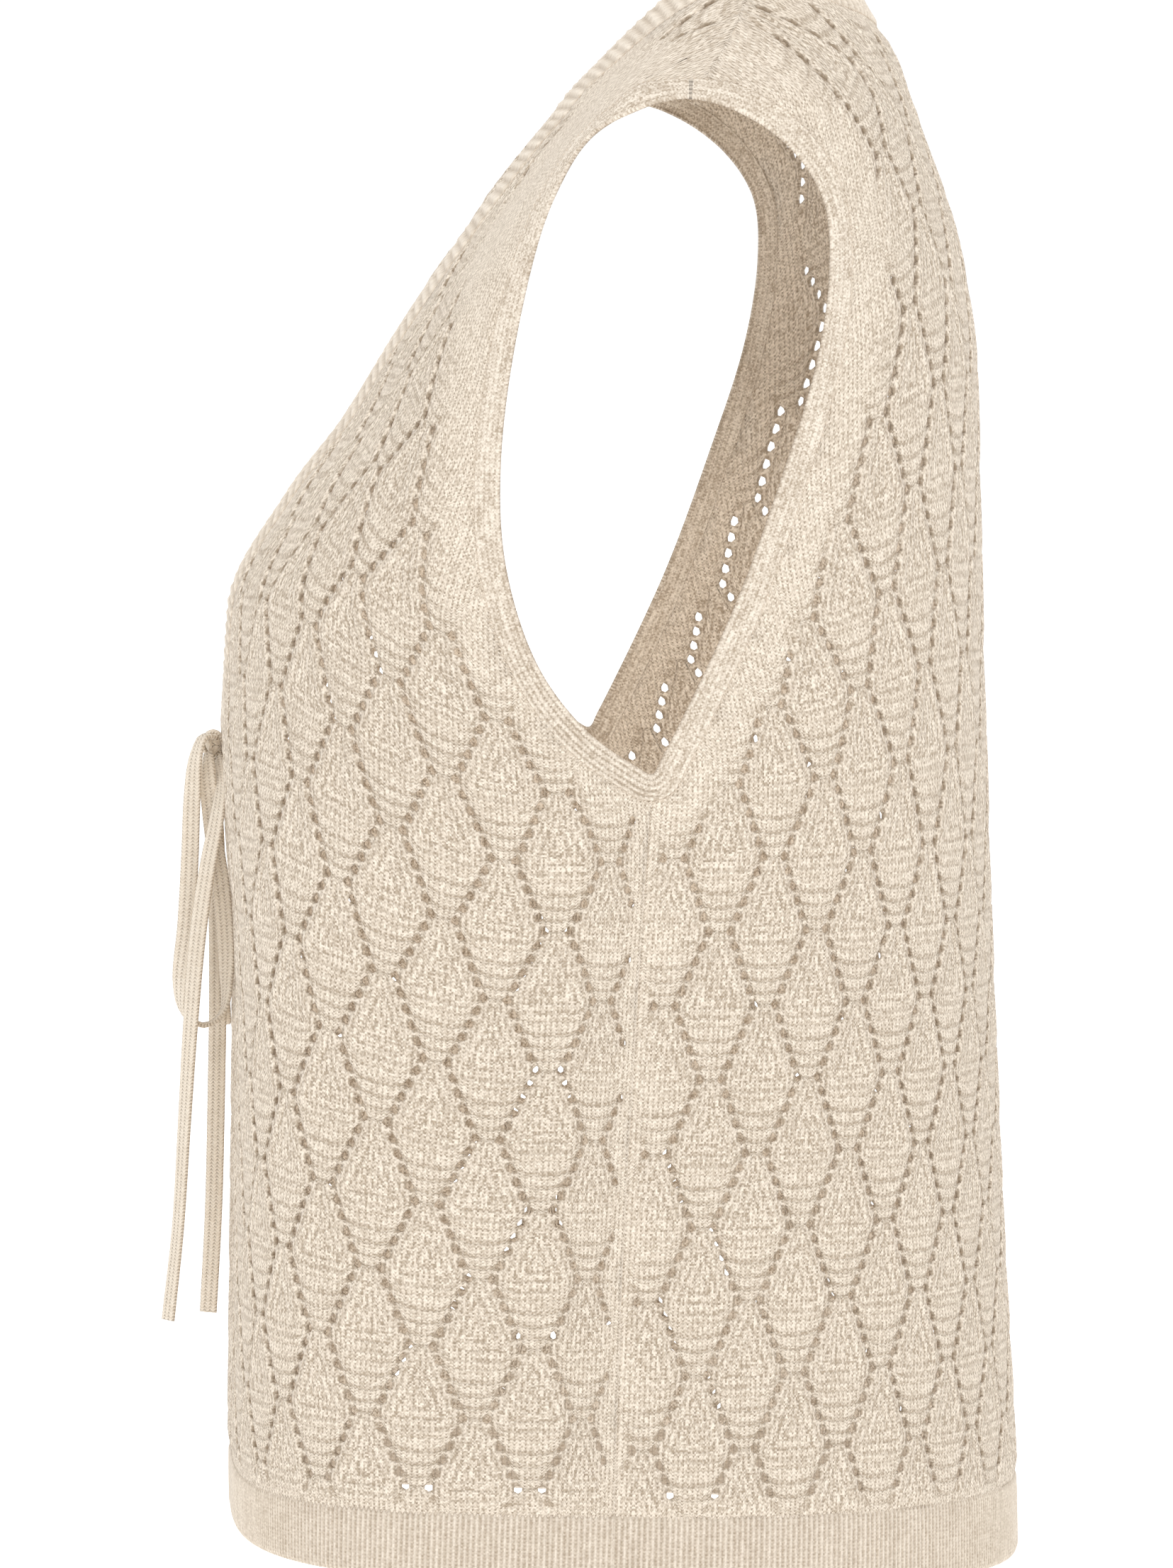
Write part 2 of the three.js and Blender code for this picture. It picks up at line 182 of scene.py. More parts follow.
def new_finish(name, surface):
    """A material, with the settings of its surface."""
    material = bpy.data.materials.new(name)
    material.use_nodes = True
    for label, value in surface.items():
        material.node_tree.nodes["Principled BSDF"].inputs[label].default_value = value
    return material


class Yarn(Nodes):
    """A knitted finish in cotton yarn."""

    SURFACE = {"Roughness": 0.85, "Specular IOR Level": 0.2, "Sheen Weight": 0.1, "Sheen Roughness": 0.5}

    def __init__(self, name):
        self.material = new_finish(name, self.SURFACE)
        super().__init__(self.material.node_tree)

    def knit_map(self):
        """The two coordinates of the piece's own knit map: wales across, and courses up."""
        place = self.add("ShaderNodeUVMap", uv_map="knit")
        parts = self.add("ShaderNodeSeparateXYZ", {"Vector": place})
        return parts, Value(self, parts.socket.node.outputs[1])

    def fleck(self, wale, course):
        """A number from 0 to 1 that changes from stitch to stitch."""
        place = self.add("ShaderNodeCombineXYZ", {0: wale.whole(), 1: course.whole()})
        return self.add("ShaderNodeTexWhiteNoise", {"Vector": place}, noise_dimensions="2D")

    def stitches(self, wale, course):
        """Height, from 0 to 1, of plain knit: each stitch is a V whose two legs lean together."""
        from_middle = (wale.part() - 0.5).size() * 2
        along = ((course + from_middle * 0.75).part() - 0.5).size() * 2
        edge, end = from_middle * from_middle, along * along
        return 1 - (edge * 0.25 + end * 0.3 + edge * end * 0.9)

    def finish(self, shade, height, depth, dark, light):
        """Shade runs from dark to light. Height is in units of depth, in millimetres."""
        colours = {"Factor": shade, 6: (*dark, 1), 7: (*light, 1)}
        colour = self.add("ShaderNodeMix", colours, 2, data_type="RGBA")
        bump = self.add("ShaderNodeBump", {"Height": height, "Distance": depth * MM})
        surface = self.nodes["Principled BSDF"].inputs
        self.links.new(colour.socket, surface["Base Color"])
        self.links.new(bump.socket, surface["Normal"])
        return self.material


def joined(*parts):
    """Arrays side by side as the columns of one, each spread to the shape of them all."""
    return np.stack(np.broadcast_arrays(*parts), -1)


def unit(vectors):
    return vectors / np.linalg.norm(vectors, axis=-1, keepdims=True)


def grid_cells(rows, columns, ring=False, tube=False):
    """Cells between the points of a grid. Its last row may meet the first, or its last column."""
    return [(j * columns + i, j * columns + (i + 1) % columns,
             (j + 1) % rows * columns + (i + 1) % columns, (j + 1) % rows * columns + i)
            for j in range(rows - 1 + ring) for i in range(columns - 1 + tube)]


def new_piece(name, points, faces, material, knit_map, values=None):
    """A mesh piece from points in millimetres, with a knit map and other values at its points."""
    mesh = bpy.data.meshes.new(name)
    mesh.from_pydata((np.reshape(points, (-1, 3)) * MM).tolist(), [], faces)
    corner_points = np.empty(len(mesh.loops), np.int32)
    mesh.loops.foreach_get("vertex_index", corner_points)
    layer = mesh.uv_layers.new(name="knit")
    layer.data.foreach_set("uv", np.reshape(knit_map, (-1, 2)).astype(np.float32)[corner_points].ravel())
    for key, numbers in (values or {}).items():
        at_points = mesh.attributes.new(key, "FLOAT", "POINT").data
        at_points.foreach_set("value", np.ravel(numbers).astype(np.float32))
    mesh.polygons.foreach_set("use_smooth", np.ones(len(mesh.polygons), bool))
    mesh.materials.append(material)
    mesh.update()
    return in_scene(name, mesh)


def settle(piece, node):
    """The finished piece rides on the vest's one body and stands for its plain solid."""
    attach(piece, "root")
    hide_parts(node)


def tape_knit():
    yarn = Yarn("tie tape")
    across, length = yarn.knit_map()
    wale, course = across * TAPE_WALES + 0.5, length / TAPE_COURSE
    stitch = yarn.stitches(wale, course)
    # The stitch term darkens the colour between stitches: painted shade in the gaps of the knit. The fleck is
    # the yarn's own unevenness.
    shade = stitch * 0.45 + yarn.fleck(wale, course) * 0.25 + 0.35
    return yarn.finish(shade, stitch, 0.35, (0.58, 0.475, 0.36), (0.84, 0.75, 0.63))


TAPE_YARN = tape_knit()


def eased(start, leave, stop, reach, t):
    """Values from start to stop as t goes from 0 to 1, which leave and reach them at given rates."""
    return ((2 * t ** 3 - 3 * t ** 2 + 1) * start + (t ** 3 - 2 * t ** 2 + t) * leave
            + (3 * t ** 2 - 2 * t ** 3) * stop + (t ** 3 - t ** 2) * reach)


def smooth_between(before, start, stop, after, t):
    """Points at t, from 0 to 1, of the way from start to stop on a centripetal Catmull-Rom curve."""
    gaps = [np.linalg.norm((b - a)[:, :3], axis=1, keepdims=True) ** 0.5
            for a, b in ((before, start), (start, stop), (stop, after))]
    chord = (stop - start) / gaps[1]
    leave = ((start - before) / gaps[0] - (stop - before) / (gaps[0] + gaps[1]) + chord) * gaps[1]
    reach = (chord - (after - start) / (gaps[1] + gaps[2]) + (after - stop) / gaps[2]) * gaps[1]
    return eased(start, leave, stop, reach, t)


def lengths_along(points):
    """How far along a line each of its points lies."""
    return np.r_[0, np.cumsum(np.linalg.norm(np.diff(points, axis=0), axis=1))]


def smooth_route(points):
    """Sections of tape on a smooth curve through a route, and how far along it each lies."""
    route = np.array(points, float)
    knots = np.vstack([2 * route[0] - route[1], route, 2 * route[-1] - route[-2]])
    finer = 24  # steps of the curve between two points of the route
    span, step = np.divmod(np.arange(finer * (len(route) - 1)), finer)
    curve = smooth_between(*[knots[span + shift] for shift in range(4)], step[:, None] / finer)
    curve = np.vstack([curve, route[-1]])
    length = lengths_along(curve[:, :3])
    places = np.linspace(0, length[-1], round(length[-1] / TAPE_STEP) + 1)
    return np.stack([np.interp(places, length, column) for column in curve.T], 1), places


def whole_turn(count):
    """Angles at equal steps of a whole turn."""
    return np.arange(count) * 2 * math.pi / count


def tape_section():
    """The tape's rounded section with a ridge for each wale: across and through, for each corner."""
    turn = whole_turn(TAPE_CORNERS)
    across = np.sign(np.cos(turn)) * np.abs(np.cos(turn)) ** 0.75
    through = np.sign(np.sin(turn)) * np.abs(np.sin(turn)) ** 0.6
    ridges = 0.85 + 0.25 * np.abs(np.cos((across * TAPE_WALES + 1) * math.pi / 2))
    return np.stack([across * TAPE_WIDTH / 2, through * ridges * TAPE_THICK / 2], 1)


def capped_tube(rings, corners):
    """Faces of a tube of rings of points, closed at both ends."""
    ends = [tuple(reversed(range(corners))), tuple(range((rings - 1) * corners, rings * corners))]
    return grid_cells(rings, corners, tube=True) + ends


def sweep_tape(name, rows):
    """A tape along a route, and the points that it follows."""
    route, places = smooth_route(rows)
    centre, turn = route[:, :3], np.radians(route[:, 3])
    along = unit(np.gradient(centre, axis=0))
    width = joined(np.cos(turn), np.sin(turn), 0)
    width = unit(width - along * (width * along).sum(1, keepdims=True))
    section = tape_section()
    points = (centre[:, None] + width[:, None] * section[:, :1]
              + np.cross(along, width)[:, None] * section[:, 1:])
    knit_map = joined(section[:, 0] / TAPE_WIDTH, places[:, None])
    return new_piece(name, points, capped_tube(len(centre), TAPE_CORNERS), TAPE_YARN, knit_map), centre


for name, (node, rows) in TAPE_ROUTES.items():
    tape, line = sweep_tape(name, rows)
    settle(tape, node)
    line[0] * MM
    line * MM


# ---- Bow knot -----------------------------------------------------------------------------
# The knot is the tape itself, wrapped once round the crossing and pulled tight, so it shows as
# a plump band of tape over the gathered ends of the loops.
KNOT_WIDTH = 7.0
knot_low, knot_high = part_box("tie_knot")
knot_centre = np.array((knot_low + knot_high) / 2) / MM
knot_half = np.array((knot_high - knot_low) / 2) / MM


def knot_wrap(name):
    """A closed ring of tape round the knot, seen from the front as an upright band."""
    around, across = 40, 14
    turn, side = whole_turn(around)[:, None], whole_turn(across)
    reach = 1 + 0.32 * np.sin(side)
    x = (KNOT_WIDTH / 2) * np.cos(side) * (0.86 + 0.14 * np.cos(2 * turn)) + 0.35 * np.sin(turn)
    y, z = -knot_half[1] * 0.86 * reach * np.cos(turn), knot_half[2] * 0.84 * reach * np.sin(turn)
    knit_map = joined(0.5 * np.cos(side), 24 * turn / (2 * math.pi))
    faces = grid_cells(around, across, ring=True, tube=True)
    return new_piece(name, joined(x, y, z) + knot_centre, faces, TAPE_YARN, knit_map)


def gathered_core(name):
    """The folded tape inside the knot, which fills the ring and shows as creases at its sides."""
    rings, corners = 15, 20
    along = np.linspace(-1, 1, rings)[:, None]
    turn = whole_turn(corners)
    girth = (1.04 - np.abs(along) ** 3) ** 0.5 * (1 + 0.12 * np.cos(4 * turn + 2 * along))
    points = joined(knot_half[0] * 1.15 * along, knot_half[1] * 0.82 * girth * np.cos(turn),
                    knot_half[2] * 0.78 * girth * np.sin(turn))
    faces = [face[:1] + face[:0:-1] for face in capped_tube(rings, corners)]
    knit_map = joined(turn / (2 * math.pi) - 0.5, 6 * along)
    return new_piece(name, points + knot_centre, faces, TAPE_YARN, knit_map)


settle(knot_wrap("bow_knot"), "tie_knot")
settle(gathered_core("bow_knot_core"), "tie_knot")


# ---- Lace front and back ------------------------------------------------------------------
# Two panels of fine cotton in a diamond pointelle: eyelets run in zigzags between the wales and
# close round each diamond. Its upper half is tented and its lower half ripples across.
# The panels keep the vest's filled-out form, and meet at the side and shoulder seams.
BODY_COLUMNS = ("height", "seam", "half", "front", "back", "front_power", "back_power")
BODY_SECTIONS = np.array([
    (-560, -39.5, 156, 119.0, 147.0, 3.2, 2.4),
    (-515, -38.2, 155, 122.0, 145.0, 3.3, 2.4),
    (-430, -35.2, 151, 124.0, 137.6, 4.0, 2.4),
    (-335, -30.0, 151, 128.2, 128.2, 4.4, 2.4),
    (-250, -25.0, 157, 136.7, 120.2, 3.2, 2.4),
    (-214, -23.5, 158, 135.5, 117.6, 3.0, 2.4),
    (-178, -21.5, 160, 118.0, 114.8, 3.1, 2.4),
    (-152, -20.0, 162, 99.5, 112.5, 3.3, 2.4),
    (-125, -18.5, 163, 84.0, 109.8, 3.6, 2.4),
    (-90, -16.5, 164.5, 61.5, 101.5, 4.6, 2.4),
    (-60, -15.0, 166, 40.5, 89.8, 6.0, 2.4),
    (-46, -13.0, 163, 31.2, 82.6, 5.0, 2.4),
    (-30, -3.0, 138, 27.2, 67.6, 3.8, 2.3),
    (-10, 11.0, 103, 22.8, 42.4, 3.0, 2.2),
    (6, 20.0, 75, 18.0, 26.0, 2.4, 2.2),
])
ARMHOLE_EDGE = np.array([
    (-14, -43.4), (-31, -47.5), (-46, -56), (-58.5, -77.6), (-68.5, -114), (-74.8, -161), (-73, -196),
    (-62.3, -228.3), (-46, -249.5), (-30.5, -260.5), (-25.5, -263), (-22.5, -258), (1.3, -208.7), (17, -166),
    (28.5, -129), (32.8, -99), (31, -77.6), (21.4, -62), (5, -49.5),
], float)  # y and z of the left armhole's finished edge, down the front and up the back
QUARTER = math.pi / 2
NECK_BAND = 16.0
NECK_WIDER = 9.0  # how much wider the neckband is at the shoulder than round the V
ARM_BAND = 9.0
NECK_HALF = 75.0
NECK_TOP = 6.0
V_POINT = -255.0
V_BOW = 0.12
BACK_NECK = {"edge": -6.0, "seam": -19.0, "power": 2.5}
HEM_SEAM = {"height": -506.0, "tilt": 3.0}
HEM_ASKEW = 10.0  # how much lower the hem hangs on the right side
UNDERARM = -262.0
FORWARD = 0.105  # how far the left side of the V stands ahead of the right, for each mm of its width
SEAM_DIP = 0.35  # depth of the groove at the side seams
SEAM_LAP = 0.25  # how far each panel runs past the middle of a seam
TUCK = 1.2  # the panels run on this far under the bands
LACE_THICK = 1.3


def body_section(height):
    """The seven sizes of the body's section at each height, smooth between the table's rows."""
    heights = BODY_SECTIONS[:, 0]
    z = np.clip(height, heights[0], heights[-1])
    rises = np.diff(BODY_SECTIONS, axis=0) / np.diff(heights)[:, None]
    product = rises[:-1] * rises[1:]
    total = rises[:-1] + rises[1:]
    inner = np.where(product > 0, 2 * product / np.where(total == 0, 1, total), 0)
    slopes = np.vstack([rises[0], inner, rises[-1]])
    k = np.clip(np.searchsorted(heights, z) - 1, 0, len(heights) - 2)
    span = (heights[k + 1] - heights[k])[..., None]
    t = (np.asarray(z)[..., None] - heights[k][..., None]) / span
    values = eased(BODY_SECTIONS[k], slopes[k] * span, BODY_SECTIONS[k + 1], slopes[k + 1] * span, t)
    return dict(zip(BODY_COLUMNS, np.moveaxis(values, -1, 0)))


def held(values):
    """Values held between 0 and 1."""
    return np.clip(values, 0, 1)


def smooth_step(value, low, high):
    t = held((value - low) / (high - low))
    return t * t * (3 - 2 * t)


def half_section(section, ahead):
    """Depth and roundness of the half of a section that lies ahead of the seams, or behind them."""
    return [np.where(ahead, section["front" + size], section["back" + size]) for size in ("", "_power")]


def on_body(angle, height):
    """Points of the outer surface. The angle is 0 at the centre front and a quarter turn at the side."""
    section = body_section(height)
    depth, power = half_section(section, np.cos(angle) > 0)
    across = (np.abs(np.sin(angle)) / section["half"]) ** power
    reach = (across + (np.abs(np.cos(angle)) / depth) ** power) ** (-1 / power)
    x = reach * np.sin(angle)
    v_half = np.clip(beside_v(height, 0), 0, None)
    from_edge = held(1 - (np.abs(x) - v_half) / 60) ** 1.5 * smooth_step(np.cos(angle), -0.6, 0)
    forward = FORWARD * v_half * from_edge * (x > 0)
    return joined(x, section["seam"] - reach * np.cos(angle) - forward, height)


def outward(angle, height):
    turn, rise = 0.002, 0.5
    along = on_body(angle + turn, height) - on_body(angle - turn, height)
    up = on_body(angle, height + rise) - on_body(angle, height - rise)
    return unit(np.cross(along, up))


def lifted(angle, height, lift):
    """Points that stand out from the body's surface by lift."""
    return on_body(angle, height) + outward(angle, height) * np.asarray(lift)[..., None]


def place_of(point):
    """The angle and height of the body's surface that a point beside it stands for."""
    seam = body_section(point[..., 2])["seam"]
    return np.arctan2(point[..., 0], seam - point[..., 1]), point[..., 2]


def reach_at(at, half, reach, power):
    """How far a rounded section reaches one way, at a distance from its middle the other way."""
    return reach * held(1 - (np.abs(at) / half) ** power) ** (1 / power)


def from_side(y, z):
    """The angle and height of a point of the body's left side, by its place in side view."""
    section = body_section(z)
    ahead = section["seam"] - y
    depth, power = half_section(section, ahead > 0)
    return np.arctan2(reach_at(ahead, depth, section["half"], power), ahead), z


def v_line(height):
    """Share of the V's height, how much its edge bows there, and how fast it runs outwards."""
    t = (height - V_POINT) / (NECK_TOP - V_POINT)
    bow = np.where(t > 0, V_BOW, 0)
    return t, bow, NECK_HALF / (NECK_TOP - V_POINT) * (1 + V_BOW - 2 * bow * t)


def beside_v(height, aside):
    """x of the line that runs beside the V opening's edge, out from it by aside."""
    t, bow, steep = v_line(height)
    return NECK_HALF * ((1 + V_BOW) * t - bow * t * t) + aside * np.hypot(1, steep)


def shoulder_height(aside):
    """Height at which the line beside the V reaches the shoulder seam."""

    low, high = -60.0, NECK_TOP
    for _ in range(40):
        middle = (low + high) / 2
        if beside_v(middle, aside) < body_section(middle)["half"]:
            low = middle
        else:
            high = middle
    return low


def neck_reach(height):
    """Width of the neckband at each height of the V."""
    return NECK_BAND + NECK_WIDER * smooth_step(height, -70, -12)


def back_neck_height(x, share):
    """Height of the back neck line at a share of the band's width, at a distance x from the centre."""
    top = shoulder_height(share * (NECK_BAND + NECK_WIDER))
    low = BACK_NECK["edge"] + (BACK_NECK["seam"] - BACK_NECK["edge"]) * share
    return low + (top - low) * (np.abs(x) / body_section(top)["half"]) ** BACK_NECK["power"]


def hem_height(line, angle):
    """Height of one of the hem's two lines, which dip to the back and at the right side."""
    return line["height"] + line["tilt"] * np.cos(angle) + HEM_ASKEW * np.clip(np.sin(angle), -1, 0)


def closed_curve(points, count):
    """A smooth closed curve through points, at equal shares of its turns."""
    at = np.arange(count) * len(points) / count
    k = at.astype(int)
    ends = [points[(k + shift) % len(points)] for shift in (-1, 0, 1, 2)]
    return smooth_between(*ends, (at - k)[:, None])


def beside_edge(angle, height, aside):
    """Angles and heights of a line that runs beside a closed one on the body, out from it by aside."""
    here = on_body(angle, height)
    along = np.roll(here, -1, axis=0) - np.roll(here, 1, axis=0)
    return place_of(here + np.cross(unit(along), outward(angle, height)) * aside)


ARMHOLE_STEPS = 360
# How far the right armhole is out of line with the left, in y and z: all of it, and its foot besides.
RIGHT_ARMHOLE = np.array([(-2.0, 0.0), (-2.2, -2.6)])
armhole_places, armhole_seams = {}, {}
for side in (1, -1):
    line = closed_curve(ARMHOLE_EDGE, ARMHOLE_STEPS)
    if side < 0:
        line += RIGHT_ARMHOLE[0] + RIGHT_ARMHOLE[1] * smooth_step(line[:, 1:], -60, -220)
    armhole_places[side] = from_side(line[:, 0], line[:, 1])
    armhole_seams[side] = on_body(*beside_edge(*armhole_places[side], ARM_BAND - TUCK))[:, 1:]


def clear_of(seam, points):
    """Distance in side view from an armhole's seam, below nought inside it, for points y and z."""
    nearest = np.full(len(points), np.inf)
    inside = np.zeros(len(points), bool)
    for start, stop in zip(seam, np.roll(seam, -1, axis=0)):
        step, to = stop - start, points - start
        t = held((to @ step) / (step @ step))
        nearest = np.minimum(nearest, np.linalg.norm(to - t[:, None] * step, axis=1))
        crosses = (start[1] > points[:, 1]) != (stop[1] > points[:, 1])
        inside ^= crosses & (to[:, 0] < to[:, 1] / (step[1] or 1) * step[0])
    return np.where(inside, -nearest, nearest)


# How each panel's knit lies on the body. width is the spacing of the diamond columns, rise the
# height of half a diamond, level the height of the row of nodes at the hem end and across the
# side; the rows climb away from the side seam between two distances, and the wales spread.
PANELS = {
    "front": {
        "width": 18.59, "squeeze": 0.74, "rise": 22.8, "level": -337.2, "reach": 250.7, "aside": 0.0,
        "climb_over": (35.0, 150.0), "climb": ((-480, 3), (-190, 46)),
        "spread": ((-300, 1.0), (-200, 0.95)),
    },
    "back": {
        "width": 16.71, "squeeze": 1.0, "rise": 24.25, "level": -339.0, "reach": 226.2, "aside": 10.5,
        "climb_over": (25.0, 140.0), "climb": ((-300, 0), (-135, 44)),
        "spread": ((-275, 1.0), (-142, 1.12)),
    },
}
ROWS = (-8.6, 15.0)  # the panels' lowest and highest rows, in half diamonds from the level row
COLUMNS = 13  # diamond columns from the centre of a panel to its side seam
SQUEEZED = 12.5  # the columns past this one are squeezed, beside the side seam
DIAMOND = (17.6, 23.5)  # mean half width and half height of a diamond
LEVELS = 5  # eyelets from one node of a zigzag to the next
NODE_SIDE = 0.21  # how far an eyelet beside a node stands from its column, in column widths
EYELET = (1.35, 1.65)  # half width and half height of an eyelet
EYELET_CORNER = (0.9, 0.45)  # where its corners stand, as shares of these
RIDGE = 0.8  # height of the welt along each diamond's upper sides
RIDGE_AT = (1.2, 2.5, 4.3)  # where the welt rises, falls and ends, out from the eyelets' edge
PILLOW = 0.7  # how far the middle of a diamond stands out
RIPPLE = 0.2  # height of the ripples across its lower half
SAG = ((-1, -0.5, -0.1, 0.4, 1), (0.5, 2.4, 2.6, 0.6, 0))  # how far its rows sag, from foot to top


def zigzag(line, y):
    """x of a line of eyelets that winds between two columns."""
    swing = 2 * np.abs(np.mod(y, 2) - 1) - 1
    return line + 0.5 + (0.5 - NODE_SIDE) * swing * np.where(line % 2 == 0, 1, -1)


def quarter_table(onto_back):
    """Angles at equal shares of each section's length, from the panel's centre to its seam."""
    heights = np.linspace(-560, NECK_TOP, 284)
    angles = np.linspace(0, QUARTER, 241)
    points = on_body((math.pi - angles if onto_back else angles)[None], heights[:, None])
    lengths = np.cumsum(np.linalg.norm(np.diff(points[..., :2], axis=1), axis=2), axis=1)
    lengths = np.pad(lengths, ((0, 0), (1, 0)))
    shares = np.linspace(0, 1, 201)
    return heights, lengths[:, -1], np.array([np.interp(shares, row / row[-1], angles) for row in lengths])


def angle_at(table, length, height):
    """The turn from a panel's centre at a length along the section, past the seam too."""
    heights, totals, angles = table
    last_row, last = angles.shape[0] - 1, angles.shape[1] - 1
    z = np.clip(height, heights[0], heights[-1])
    total = np.interp(z, heights, totals)
    share = length / total
    row, column = (z - heights[0]) / (heights[1] - heights[0]), held(share) * last
    low, left = np.minimum(row.astype(int), last_row - 1), np.minimum(column.astype(int), last - 1)
    up, on = row - low, column - left
    lower, upper = [angles[at, left] * (1 - on) + angles[at, left + 1] * on for at in (low, low + 1)]
    slope = (angles[low, -1] - angles[low, -2]) * last
    return lower * (1 - up) + upper * up + np.maximum(share - 1, 0) * slope, total


def drape(panel, table, x, y):
    """Where the flat panel's point lies: its turn from the centre, height and distance to the seam."""
    column = np.abs(x)
    column = np.minimum(column, SQUEEZED) + np.maximum(column - SQUEEZED, 0) * panel["squeeze"]
    flat = column * panel["width"]
    base = panel["level"] + panel["rise"] * y
    # Beside the right armhole the back's columns stand further aside.
    flat += panel["aside"] * np.where(x < 0, smooth_step(flat, 30, 170), 0) * smooth_step(base, -310, -250)
    away = smooth_step(panel["reach"] - flat, *panel["climb_over"])
    height = base + np.interp(base, *zip(*panel["climb"])) * away
    low, high = panel["spread"]
    spread = low[1] + (high[1] - low[1]) * smooth_step(height, low[0], high[0])
    # Below the underarm the panel is gathered in, or let out, to meet the side seam.
    gathered = panel["reach"] - np.interp(height, table[0], table[1])
    gathered *= held((UNDERARM - height) / 20) * smooth_step(flat, 0, 70)
    length = flat * spread - gathered
    turn, total = angle_at(table, np.maximum(length, 0), height)
    return turn, height, total - length


def trimmed(data, faces, column):
    """Cuts cloth along the line where one of its columns of values falls to nought."""
    value = data[:, column].copy()
    value[np.abs(value) < 0.12] = 0  # points as near as this are on the line
    keep = value >= 0
    rows, cuts, kept = list(data), {}, []
    for face in faces:
        outline = []
        for i, j in zip(face, face[1:] + face[:1]):
            if keep[i]:
                outline.append(i)
            if keep[i] != keep[j] and value[i] != 0 and value[j] != 0:
                a, b = key = (min(i, j), max(i, j))
                if key not in cuts:
                    cuts[key] = len(rows)
                    rows.append(data[a] + (data[b] - data[a]) * value[a] / (value[a] - value[b]))
                outline.append(cuts[key])
        if len(outline) > 2:
            kept.append(outline)
    used = sorted({i for face in kept for i in face})
    place = {old: new for new, old in enumerate(used)}
    return np.array([rows[i] for i in used]), [tuple(place[i] for i in face) for face in kept]


def baked(piece):
    """The piece as plain mesh, without the modifiers that made it."""
    flat = piece.data
    piece.data = bpy.data.meshes.new_from_object(piece.evaluated_get(bpy.context.evaluated_depsgraph_get()))
    piece.modifiers.clear()
    bpy.data.meshes.remove(flat)
    piece.data.name = piece.name
    return piece


def walled(piece, thickness):
    """Gives a sheet its thickness, inwards, with a rim along each edge and round each eyelet."""
    wall = piece.modifiers.new("wall", "SOLIDIFY")
    wall.thickness = thickness * MM
    wall.offset = -1
    return baked(piece)


def lace_grid():
    """A whole flat panel: x, y and strip of its points, its lines of eyelets, its cells and theirs."""
    level = np.arange(round(ROWS[0] * LEVELS), round(ROWS[1] * LEVELS) + 1).repeat(2)
    upper = np.arange(len(level)) % 2
    side = np.where(upper, 1, -1) * EYELET[1] / DIAMOND[1]
    wide = EYELET_CORNER[0] * EYELET[0] / DIAMOND[0]
    columns, last = [], None  # each column's x, y beside its level, strip, and whether it is on a line
    for line in range(-COLUMNS - 2, COLUMNS + 2):
        centre = zigzag(line, level / LEVELS)
        left, right = centre - wide, centre + wide
        ends = [left]
        if last is not None:
            near = [np.minimum(at / DIAMOND[0], (left - last) * share)
                    for at, share in zip(RIDGE_AT, (0.16, 0.32, 0.44))]
            ends = [last + step for step in near] + [left - step for step in reversed(near)] + ends
        columns += [(x, side * EYELET_CORNER[1], line, False) for x in ends]
        columns += [(centre, side, line, True), (right, side * EYELET_CORNER[1], line + 1, False)]
        last = right
    x, beside, strip, on_line = [np.array(values).T for values in zip(*columns)]
    cells, eyelets = [], []
    for number, cell in enumerate(grid_cells(*x.shape)):
        row, place = divmod(number, x.shape[1] - 1)
        if upper[row] or place % 9 > 1:
            cells.append(cell)
        elif place % 9:
            eyelets[-1].append(cell)
        else:
            eyelets.append([cell])
    return x, level[:, None] / LEVELS + beside, strip, on_line, cells, eyelets


def relief_of(x, y, strip, on_line):
    """How far the knit stands out in its diamonds' welts, middles and ripples, and how far it sags."""
    up = np.mod(y - strip + 1, 2) - 1
    half = 1 - NODE_SIDE - (1 - 2 * NODE_SIDE) * np.abs(up)
    corner = EYELET[0] * EYELET_CORNER[0]
    room = np.maximum(half * DIAMOND[0] - corner, 0.5)
    scale = np.minimum(room / (RIDGE_AT[2] * 1.1), 1)
    from_edge = ((half - np.abs(x - strip)) * DIAMOND[0] - corner) / scale
    welt = np.interp(from_edge, (0, *RIDGE_AT), (0.1, 1, 0.9, 0)) * held(up / 0.16 + 0.4)
    middle = held(1 - ((x - strip) / half) ** 2)
    pillow = middle * held(1.2 - np.abs(up))
    ripple = np.sign(np.mod(y * LEVELS + 0.5, 1) - 0.5) * held(0.25 - up * 4) * held(pillow * 3)
    relief = RIDGE * welt + PILLOW * pillow + RIPPLE * ripple
    return np.where(on_line, 0, relief), np.where(on_line, 0, np.interp(up, *SAG) * middle)


